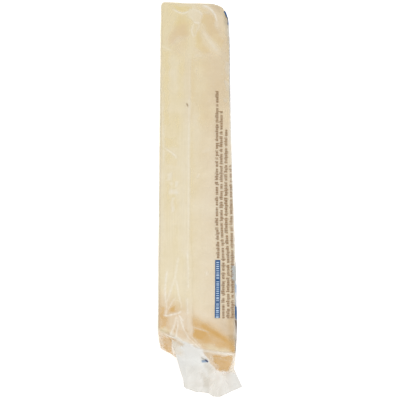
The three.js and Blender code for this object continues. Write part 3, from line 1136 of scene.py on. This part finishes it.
# %% [markdown]
# ## The cheese's finish
# The paste is straw yellow with a soft mottle and tiny white crystals, and it turns amber in the last
# centimetres under the rind, with a ragged edge. The left of the slice is a little more yellow, the right a
# little more rosy, and the painted patches change that where the photo shows it.

# %% Finish the cheese
PASTE_LEFT = colour(223, 204, 151)
PASTE_RIGHT = colour(216, 192, 151)
PASTE_MOTTLE = colour(228, 211, 170)
AMBER = colour(206, 161, 86)
CRYSTAL = colour(244, 238, 222)
ROSY_BETWEEN = (-12 * MM, 8 * MM)  # across the slice
MOTTLE = {"size": 9 * MM, "between": (0.45, 0.7), "become": (0, 0.5), "detail": 4}
RAGGED_SIZE = 14 * MM
RAGGED_DEPTH = 9  # mm that the noise adds to the depth
AMBER_DEPTH = (15, 32)  # mm under the rind, ragged, between which the amber fades
GRAIN_CELL = 2.6 * MM
CRYSTAL_CORE = (0.05, 0.16)  # distances from the middle of a grain
CRYSTAL_SHARES = (0.3, 0)
CHEESE_ROUGHNESS = {"size": 2 * MM, "between": (0.3, 0.7), "become": (0.45, 0.7)}
CHEESE_RELIEF = {"strength": 0.25, "depth": 0.3 * MM, "size": 0.9 * MM, "detail": 4}

tree, cheese_shader = new_finish(cheese, "hard_cheese")
to_right = stretch(tree, own_axis(tree, "X"), ROSY_BETWEEN)
rosy = join(tree, "MAXIMUM", to_right, read_paint(tree, "rosy"))
ragged = join(tree, "MULTIPLY", noise(tree, RAGGED_SIZE), RAGGED_DEPTH)
depth = join(tree, "ADD", read_paint(tree, "under_rind"), ragged)
not_pale = join(tree, "SUBTRACT", 1, read_paint(tree, "pale"))
amber = join(tree, "MULTIPLY", stretch(tree, depth, AMBER_DEPTH, (1, 0)), not_pale)
grain_values = {"Vector": own_place(tree), "Scale": 1 / GRAIN_CELL}
from_grain = add_node(tree, "ShaderNodeTexVoronoi", grain_values).outputs["Distance"]
crystals = stretch(tree, from_grain, CRYSTAL_CORE, CRYSTAL_SHARES)
paste = mix_colours(tree, rosy, PASTE_LEFT, PASTE_RIGHT)
paste = mix_colours(tree, cloudy(tree, **MOTTLE), paste, PASTE_MOTTLE)
paste = mix_colours(tree, amber, paste, AMBER)
paste = mix_colours(tree, crystals, paste, CRYSTAL)
dress(tree, cheese_shader, {
    "Base Color": paste,
    "Roughness": cloudy(tree, **CHEESE_ROUGHNESS),
    "Normal": relief(tree, **CHEESE_RELIEF),
})
print("cheese finished with", len(tree.nodes), "nodes")

# %% [markdown]
# ## The film's finish
# Clear film is drawn as a thin skin that lets most light through: its alpha is low where it clings and
# higher where it is milky, creased or free. Stretched noise adds the streaks that shrinking leaves, and on
# the hidden sides soft clouds stand for pockets of air. Real film scatters light without stopping it, so
# the film casts no shade on the cheese.

# %% Finish the film
VEIL_CREAM = colour(230, 222, 205)
FOLD_WHITE = colour(236, 232, 223)
FREE_WHITE = colour(235, 234, 229)
# The colour of the painted shade on the film.
FILM_SHADE = colour(208, 201, 187)
# The colour of the dim painted shade at the right rim.
FILM_DIM_SHADE = colour(150, 134, 108)
FOLD_BREAKS = {"size": 1.6 * MM, "between": (0.36, 0.64), "become": (0.7, 1.1), "detail": 2}
STREAKS = {"between": (0.3, 0.7), "become": (-0.05, 0.05), "detail": 2}
BROAD_STREAKS = {"size": 7 * MM, "squeeze": (1, 0.2, 0.4)}
FINE_STREAKS = {"size": 1.9 * MM, "squeeze": (1, 0.05, 0.1)}
# Where the fine streaks fade: an axis, two places on it, and the share that is left there.
STREAK_FADES = [
    ("X", (-9 * MM, -4 * MM), (1, 0.15)),
    ("Y", (-75 * MM, -60 * MM), (0, 1)),
    ("Y", (10 * MM, 45 * MM), (1, 0.3)),
]
FILM_CLOUDS = {"size": 22 * MM, "between": (0.3, 0.7), "become": (-0.06, 0.06), "detail": 2}
POCKETS = {"size": 14 * MM, "between": (0.38, 0.62), "become": (-0.2, 0.22)}
FOLD_ALPHA = 0.45
LEAST_ALPHA = 0.05
MOST_ALPHA = 0.97
FILM_ROUGHNESS = {"size": 6 * MM, "between": (0.3, 0.7), "become": (0.22, 0.38)}
FILM_RELIEF = {"strength": 0.15, "depth": 0.2 * MM, "size": 3 * MM, "squeeze": (1, 0.5, 1)}
FILM_IOR = 1.5

tree, film_shader = new_finish(film, "clear_shrink_film")
folds = join(tree, "MULTIPLY", read_paint(tree, "fold"), cloudy(tree, **FOLD_BREAKS))
free_paint = read_paint(tree, "free")
fine_streaks = cloudy(tree, **STREAKS, **FINE_STREAKS)
for axis, between, become in STREAK_FADES:
    fade = stretch(tree, own_axis(tree, axis), between, become)
    fine_streaks = join(tree, "MULTIPLY", fine_streaks, fade)
broad_streaks = cloudy(tree, **STREAKS, **BROAD_STREAKS)
pockets = join(tree, "MULTIPLY", cloudy(tree, **POCKETS), read_paint(tree, "hidden"))
milky = join(tree, "ADD", read_paint(tree, "veil"), broad_streaks, fine_streaks, pockets)
milky = join(tree, "ADD", milky, cloudy(tree, **FILM_CLOUDS), join(tree, "MULTIPLY", folds, FOLD_ALPHA))
milky = join(tree, "MAXIMUM", milky, join(tree, "MULTIPLY", free_paint, MOST_ALPHA), LEAST_ALPHA)
skin = mix_colours(tree, folds, VEIL_CREAM, FOLD_WHITE)
skin = mix_colours(tree, free_paint, skin, FREE_WHITE)
# Painted shade and dim painted shade darken the film's colour.
skin = mix_colours(tree, read_paint(tree, "shade"), skin, FILM_SHADE)
skin = mix_colours(tree, read_paint(tree, "dim"), skin, FILM_DIM_SHADE)
dress(tree, film_shader, {
    "Alpha": join(tree, "MINIMUM", milky, MOST_ALPHA),
    "Base Color": skin,
    "Roughness": cloudy(tree, **FILM_ROUGHNESS),
    "IOR": FILM_IOR,
    "Normal": relief(tree, **FILM_RELIEF),
})
film.visible_shadow = False
film.visible_diffuse = False
print("film finished with", len(tree.nodes), "nodes")

# %% [markdown]
# ## The small print
# Four lines of small print run along the right of the cut face. From this far a letter is little more than
# a stroke or two, so that is all it gets here, in words of uneven length. The strokes are flat faces over
# the pack. A Shrinkwrap modifier drops them onto the film, and Solidify gives them the thickness of ink.

# %% Helpers for print
INK = 0.05 * MM
PRINT_LIFT = 0.06 * MM  # keeps the ink clear of the film's ripples
PANEL_LIFT = 0.13 * MM
TEXT_LIFT = 0.2 * MM  # text is printed over the panels
OVER_PACK = pack_high.z + 10 * MM
FACE_ROUNDS = 4  # each round brings a guess closer to the cut face


def on_cut_face(pixel):
    """The point of the upper cut face that the camera sees at a pixel."""
    spot = seen_at(pixel, 0)
    for _ in range(FACE_ROUNDS):
        spot = seen_at(pixel, cut_face_height(spot.y))
    return spot


def line_on_face(pixels):
    """The places across and along the pack of a line of pixels, from its lower end up."""
    spots = [on_cut_face(pixel) for pixel in pixels]
    return [spot.x for spot in spots], [spot.y for spot in spots]


def flat_faces(name, faces, cuts):
    """A piece of flat faces from the corners of each, cut up so that it can follow the film."""
    corners = [corner for face in faces for corner in face]
    firsts = np.cumsum([0] + [len(face) for face in faces])
    piece = new_piece(name, corners, [], [list(range(*ends)) for ends in zip(firsts, firsts[1:])])
    edit_all(piece, bpy.ops.mesh.remove_doubles, threshold=TOUCH / 2)
    edit_all(piece, bpy.ops.mesh.subdivide, number_cuts=cuts)
    return piece


def add_ink(piece, outward):
    """Turns the faces of a sheet outwards and thickens it to a layer of ink."""
    if (facings(piece) @ np.array(outward)).mean() < 0:
        edit_all(piece, bpy.ops.mesh.flip_normals)
    modify(piece, "SOLIDIFY", thickness=INK, offset=1)
    report(piece)


def drop_on_film(piece, lift_off):
    """Drops flat faces that float over the pack onto the film."""
    modify(
        piece, "SHRINKWRAP", target=film, wrap_method="PROJECT", use_project_z=True,
        use_positive_direction=False, use_negative_direction=True, offset=lift_off,
    )
    add_ink(piece, (0, 0, 1))


# %% Set the lines in strokes
# Each line from its lower end up, in photo pixels.
PRINT_LINES = [
    [(218.2, 258), (218.4, 250), (217.0, 225), (217.0, 150), (217.4, 91)],
    [(223.4, 318), (223.4, 260), (221.6, 225), (221.4, 150), (221.6, 111)],
    [(228.3, 318), (228.3, 260), (226.3, 225), (226.2, 150), (226.4, 129)],
    [(232.7, 318), (232.7, 260), (231.6, 225), (231.2, 165)],
]
SMALL_PRINT = {
    "height": 1.2 * MM,  # of letters such as n or o
    "reach": 0.5 * MM,  # tall letters stand out above by this much, deep ones below
    "stroke": 0.26 * MM,
    "stroke_gap": 0.22 * MM,
    "letter_gap": 0.42 * MM,
    "thin": 0.3,  # share of the letters that have one stroke, not two
}
STROKE_SHARES = (0.7, 1.3)
TALL_SHARE = 0.22
DEEP_SHARE = 0.1
WORD_LETTERS = (2, 10)
WORD_GAP = 0.7 * MM
RIM_MARGIN = 0.3 * MM  # no letter comes closer to the edge of the pack
PRINT_CUTS = 2


def letter_strokes(pixels, style):
    """The corners of the strokes of one line of letters, word by word."""
    across, along = line_on_face(pixels)
    strokes = []
    place = along[0]
    while place < along[-1]:
        for _ in range(draw.integers(*WORD_LETTERS)):
            for _ in range(1 if draw.random() < style["thin"] else 2):
                middle = np.interp(place, along, across)
                top = middle - style["height"] / 2 - style["reach"] * (draw.random() < TALL_SHARE)
                foot = middle + style["height"] / 2 + style["reach"] * (draw.random() < DEEP_SHARE)
                foot = min(foot, right_side(place) - RIM_MARGIN)
                after = place + style["stroke"] * draw.uniform(*STROKE_SHARES)
                corners = [(top, place), (foot, place), (foot, after), (top, after)]
                strokes.append([(x, y, OVER_PACK) for x, y in corners])
                place = after + style["stroke_gap"]
            place += style["letter_gap"] - style["stroke_gap"]
        place += WORD_GAP
    return [stroke for stroke in strokes if stroke[2][1] < along[-1]]


line_strokes = [stroke for line in PRINT_LINES for stroke in letter_strokes(line, SMALL_PRINT)]
small_print = flat_faces("print_small_lines", line_strokes, PRINT_CUTS)
drop_on_film(small_print, TEXT_LIFT)

# %% [markdown]
# ## The blue bar
# A blue bar with a row of pale dashes on it starts the first line. The bar is a row of faces along a line
# of pixels, so that it bends with the film. The dashes are set like the small print and lie a little higher
# than the bar.

# %% Lay the blue bar and its pale dashes
BAR_LINE = [(217.3, 318), (217.7, 288), (217.7, 260)]
BAR_WIDTH = 2.6 * MM
BAR_STEPS = 40
DASHES = {
    "height": 1.35 * MM,
    "reach": 0,
    "stroke": 0.36 * MM,
    "stroke_gap": 0.32 * MM,
    "letter_gap": 0.62 * MM,
    "thin": 0.6,
}


def bar_faces(pixels, width, steps):
    """A bar along a line of pixels, as a row of faces."""
    across, along = line_on_face(pixels)
    cuts = np.linspace(along[0], along[-1], steps + 1)
    faces = []
    for low, high in zip(cuts, cuts[1:]):
        corners = [(-width / 2, low), (width / 2, low), (width / 2, high), (-width / 2, high)]
        faces.append([(np.interp(y, along, across) + x, y, OVER_PACK) for x, y in corners])
    return faces


blue_bar = flat_faces("print_blue_bar", bar_faces(BAR_LINE, BAR_WIDTH, BAR_STEPS), PRINT_CUTS)
drop_on_film(blue_bar, PRINT_LIFT)
bar_dashes = flat_faces("print_bar_dashes", letter_strokes(BAR_LINE, DASHES), PRINT_CUTS)
drop_on_film(bar_dashes, PANEL_LIFT)

# %% [markdown]
# ## The print on the right side
# The right side of the pack carries a printed label, of which the photo shows only what turns over the
# rounded rim. A plain blue frame round a clear window stands for it. Its outline and its window are two
# loops, drawn flat by their distance from the wheel's axis and by how far they climb the side, and bridged
# into a sheet. The sheet is then moved over the side, and a Shrinkwrap modifier snaps it onto the film.

# %% Helpers for the right side
FULL_TURN = 90  # degrees from the side to the cut face
GUIDE_OUT = 4 * MM  # a sheet starts this far outside the film


def over_side(radius, climb):
    """A point just outside the right side; climb is 1 where the rim starts and 2 on the cut face."""
    corner_middle = POINT_RADIUS + POINT_SLANT + POINT_CORNER
    lean = math.asin(min(max((corner_middle - radius) / POINT_CORNER, 0), 1))
    angle = (SLICE_ANGLE - RIGHT_ROUND / radius) * min(climb, 1)
    turn = math.radians(FULL_TURN) * max(climb - 1, 0)
    up = (RIGHT_ROUND + GUIDE_OUT) * math.sin(turn)
    out = (RIGHT_ROUND + GUIDE_OUT) * math.cos(turn) - RIGHT_ROUND
    x = right_side(wheel_axis.y - radius) - POINT_CORNER * (1 - math.cos(lean)) + out * math.cos(lean)
    reach = radius - out * math.sin(lean)
    y = wheel_axis.y - reach * math.cos(angle) + up * math.sin(angle)
    z = reach * math.sin(angle) + up * math.cos(angle)
    return Vector((x, y, z))


def lay_on_side(piece, lift_off):
    """Moves a sheet that is drawn flat over the right side and snaps it onto the film."""
    moved = [over_side(radius, climb) for radius, climb, _ in places(piece)]
    piece.data.vertices.foreach_set("co", np.ravel(moved))
    piece.data.update()
    modify(
        piece, "SHRINKWRAP", target=film, wrap_method="NEAREST_SURFACEPOINT",
        wrap_mode="OUTSIDE_SURFACE", offset=lift_off,
    )
    add_ink(piece, (1, 0, 0))


# %% Draw the frame flat and lay it on the side
FRAME_ALONG = (29.05 * MM, 196.6 * MM)  # from the wheel's axis
FRAME_FOOT = 0.05  # the frame starts at this share of the side's height
WINDOW_ALONG = (66 * MM, 166 * MM)
WINDOW_UP = (0.24, 0.8)
# How far the print turns over the rim: mm from the wheel's axis, and degrees.
RIM_TURNS = [(29, 4), (65, 4), (67, 10), (73, 10), (79, -10), (168, -10), (188, 8), (190, 38), (198, 42)]
LOOP_STEPS = 200
RING_CUTS = 12
SQUARE_CORNERS = 24
ROUND_CORNERS = 6


def rim_turn(radius):
    """How far the print turns over the rim at a distance from the axis, as a share of a right angle."""
    distances, degrees = zip(*RIM_TURNS)
    return float(np.interp(radius / MM, distances, degrees)) / FULL_TURN


def squared_loop(corners):
    """A loop of points round a square from -1 to 1; a higher number makes the corners squarer."""
    loop = []
    for step in range(LOOP_STEPS):
        angle = 2 * math.pi * step / LOOP_STEPS
        x, y = math.cos(angle), math.sin(angle)
        reach = (abs(x) ** corners + abs(y) ** corners) ** (1 / corners)
        loop.append((x / reach, y / reach))
    return loop


def spread(share, low, high):
    """A share from -1 to 1 as a value from low to high."""
    return low + (high - low) * (share + 1) / 2


def frame_points():
    """The outline and the window of the frame, flat: distance from the axis and climb."""
    points = []
    for x, y in squared_loop(SQUARE_CORNERS):
        radius = spread(x, *FRAME_ALONG)
        points.append((radius, spread(y, FRAME_FOOT, 1 + rim_turn(radius)), 0))
    for x, y in squared_loop(ROUND_CORNERS):
        points.append((spread(x, *WINDOW_ALONG), spread(y, *WINDOW_UP), 0))
    return points


ring_edges = [(step, (step + 1) % LOOP_STEPS) for step in range(LOOP_STEPS)]
ring_edges += [(first + LOOP_STEPS, second + LOOP_STEPS) for first, second in ring_edges]
blue_frame = bridged("print_blue_frame", frame_points(), ring_edges, RING_CUTS)
lay_on_side(blue_frame, PRINT_LIFT)

# %% [markdown]
# ## The panels of the label
# The rest of the label that turns over the rim is five plain panels: a grey panel, a pale strip with a
# light blue block on it, a brown band by the rind and a blue corner at the point. The brown band's far end,
# towards the rind, is painted shade along the rim. Each is a plane that is given its measures flat, cut up,
# and laid on the side like the frame.

# %% Add the panels beside the frame
# Each panel: its lift, two distances from the axis in mm, the climb at its foot, and the climb of its top
# at both distances.
PANELS = {
    "print_pale_panel": (PANEL_LIFT, (167.8, 176), 0.82, (1.68, 1.68)),
    "print_pale_strip": (PANEL_LIFT, (176, 189.5), 0.82, (1.42, 1.36)),
    "print_light_blue_block": (TEXT_LIFT, (177.7, 182), 0.9, (1.34, 1.34)),
    # The brown band is print, and its far end, towards the rind, is painted shade along the rim.
    "print_brown_band_and_shade": (PRINT_LIFT, (197.2, 209), 0.05, (1.45, 0.95)),
    "print_blue_corner": (PRINT_LIFT, (22, 29), 0.05, (1.49, 1.5)),
}
PANEL_CUTS = 30


def side_panel(name, lift_off, distances, foot, tops):
    """A panel on the right side, by its measures."""
    near, far = [distance * MM for distance in distances]
    near_top, far_top = tops
    bpy.ops.object.select_all(action="DESELECT")
    bpy.ops.mesh.primitive_plane_add(size=2)
    panel = bpy.context.object
    panel.name = name
    bpy.ops.object.mode_set(mode="EDIT")
    bpy.ops.transform.resize(value=((far - near) / 2, (near_top - foot) / 2, 1))
    bpy.ops.transform.translate(value=((near + far) / 2, (near_top + foot) / 2, 0))
    pick_vertices(panel, lambda place: place.x > near + TOUCH and place.y > foot + TOUCH)
    bpy.ops.transform.translate(value=(0, far_top - near_top, 0))
    bpy.ops.object.mode_set(mode="OBJECT")
    edit_all(panel, bpy.ops.mesh.subdivide, number_cuts=PANEL_CUTS)
    lay_on_side(panel, lift_off)
    return panel


pale_panel, pale_strip, light_blue_block, brown_band_and_shade, blue_corner = [
    side_panel(name, *measures) for name, measures in PANELS.items()
]

# %% [markdown]
# ## Small marks
# A scrap of blue and grey print shows on the flap, and a fleck of ink on the seam. Each is one face with a
# few corners in pixels, dropped onto the film like the small print.

# %% Print the marks on the flap and the fleck on the seam
FLAP_MARK_HEIGHT = 70 * MM
FLAP_PALE_MARK = [(201.5, 359.6), (206, 359.8), (206.6, 362), (202, 362)]
FLAP_BLUE_MARK = [(204.6, 359.2), (205.8, 358.8), (208.4, 361.1), (207.9, 362.1), (206.9, 361.9)]
FLAP_GREY_MARK = [(201, 356.8), (202, 356.5), (205, 359), (204, 359.4)]
SEAM_FLECK = [(186.2, 103.5), (187.2, 103.2), (188.6, 106), (187.7, 106.5)]
MARK_LIFT = 0.25 * MM  # the flap is crumpled
UPPER_MARK_LIFT = 0.5 * MM  # for a mark over another one
MARK_CUTS = 4


def mark(name, corners, height, lift_off):
    """A small printed mark, by its corners in the photo and about how high it lies."""
    spots = [seen_at(pixel, height) for pixel in corners]
    piece = flat_faces(name, [[(spot.x, spot.y, OVER_PACK) for spot in spots]], MARK_CUTS)
    drop_on_film(piece, lift_off)
    return piece


flap_pale = mark("print_flap_pale", FLAP_PALE_MARK, FLAP_MARK_HEIGHT, MARK_LIFT)
flap_blue = mark("print_flap_blue", FLAP_BLUE_MARK, FLAP_MARK_HEIGHT, UPPER_MARK_LIFT)
flap_grey = mark("print_flap_grey", FLAP_GREY_MARK, FLAP_MARK_HEIGHT, UPPER_MARK_LIFT)
seam_fleck = mark("print_seam_fleck", SEAM_FLECK, on_cut_face(SEAM_FLECK[0]).z, MARK_LIFT)

# %% [markdown]
# ## The finish of the print
# Ink is thin and a little uneven, so each colour has a faint cloud of a lighter tone in it.

# %% Finish the print
# Each ink: its name, its tone, and the pieces that are printed with it.
INKS = [
    ("brown_ink", (142, 105, 66), [small_print]),
    ("pale_brown_ink", (165, 146, 116), [seam_fleck]),
    # The brown band is print, and its far end is painted shade along the rim.
    ("dark_brown_ink_and_shade", (96, 70, 50), [brown_band_and_shade]),
    ("navy_ink", (8, 40, 92), [flap_blue]),
    ("blue_ink", (8, 78, 132), [blue_bar, blue_frame, blue_corner]),
    ("pale_blue_ink", (192, 216, 240), [bar_dashes]),
    ("pale_ink", (203, 208, 212), [pale_strip]),
    ("grey_ink", (178, 181, 177), [pale_panel, flap_grey]),
    ("light_blue_ink", (140, 164, 190), [flap_pale, light_blue_block]),
]
WORN_TONE = colour(235, 230, 220)
WORN = {"size": 7 * MM, "between": (0.35, 0.75), "become": (0, 0.08)}
INK_ROUGHNESS = 0.45
INK_SHINE = 0.25


def finish_ink(piece, name, tone):
    """An ink of one tone, a little worn."""
    tree, shader = new_finish(piece, name)
    worn = mix_colours(tree, cloudy(tree, **WORN), tone, WORN_TONE)
    dress(tree, shader, {"Base Color": worn, "Roughness": INK_ROUGHNESS, "Specular IOR Level": INK_SHINE})


for name, tone, pieces in INKS:
    for piece in pieces:
        finish_ink(piece, name, colour(*tone))
print("print finished in", len(INKS), "inks")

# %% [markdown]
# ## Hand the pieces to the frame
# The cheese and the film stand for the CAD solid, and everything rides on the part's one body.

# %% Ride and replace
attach(cheese, "root")
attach(film, "root")
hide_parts("sealed_pack")
for piece in (small_print, seam_fleck, brown_band_and_shade):
    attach(piece, "root")
for piece in (blue_bar, blue_frame, blue_corner, flap_blue):
    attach(piece, "root")
for piece in (bar_dashes, pale_panel, pale_strip, flap_grey, flap_pale, light_blue_block):
    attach(piece, "root")
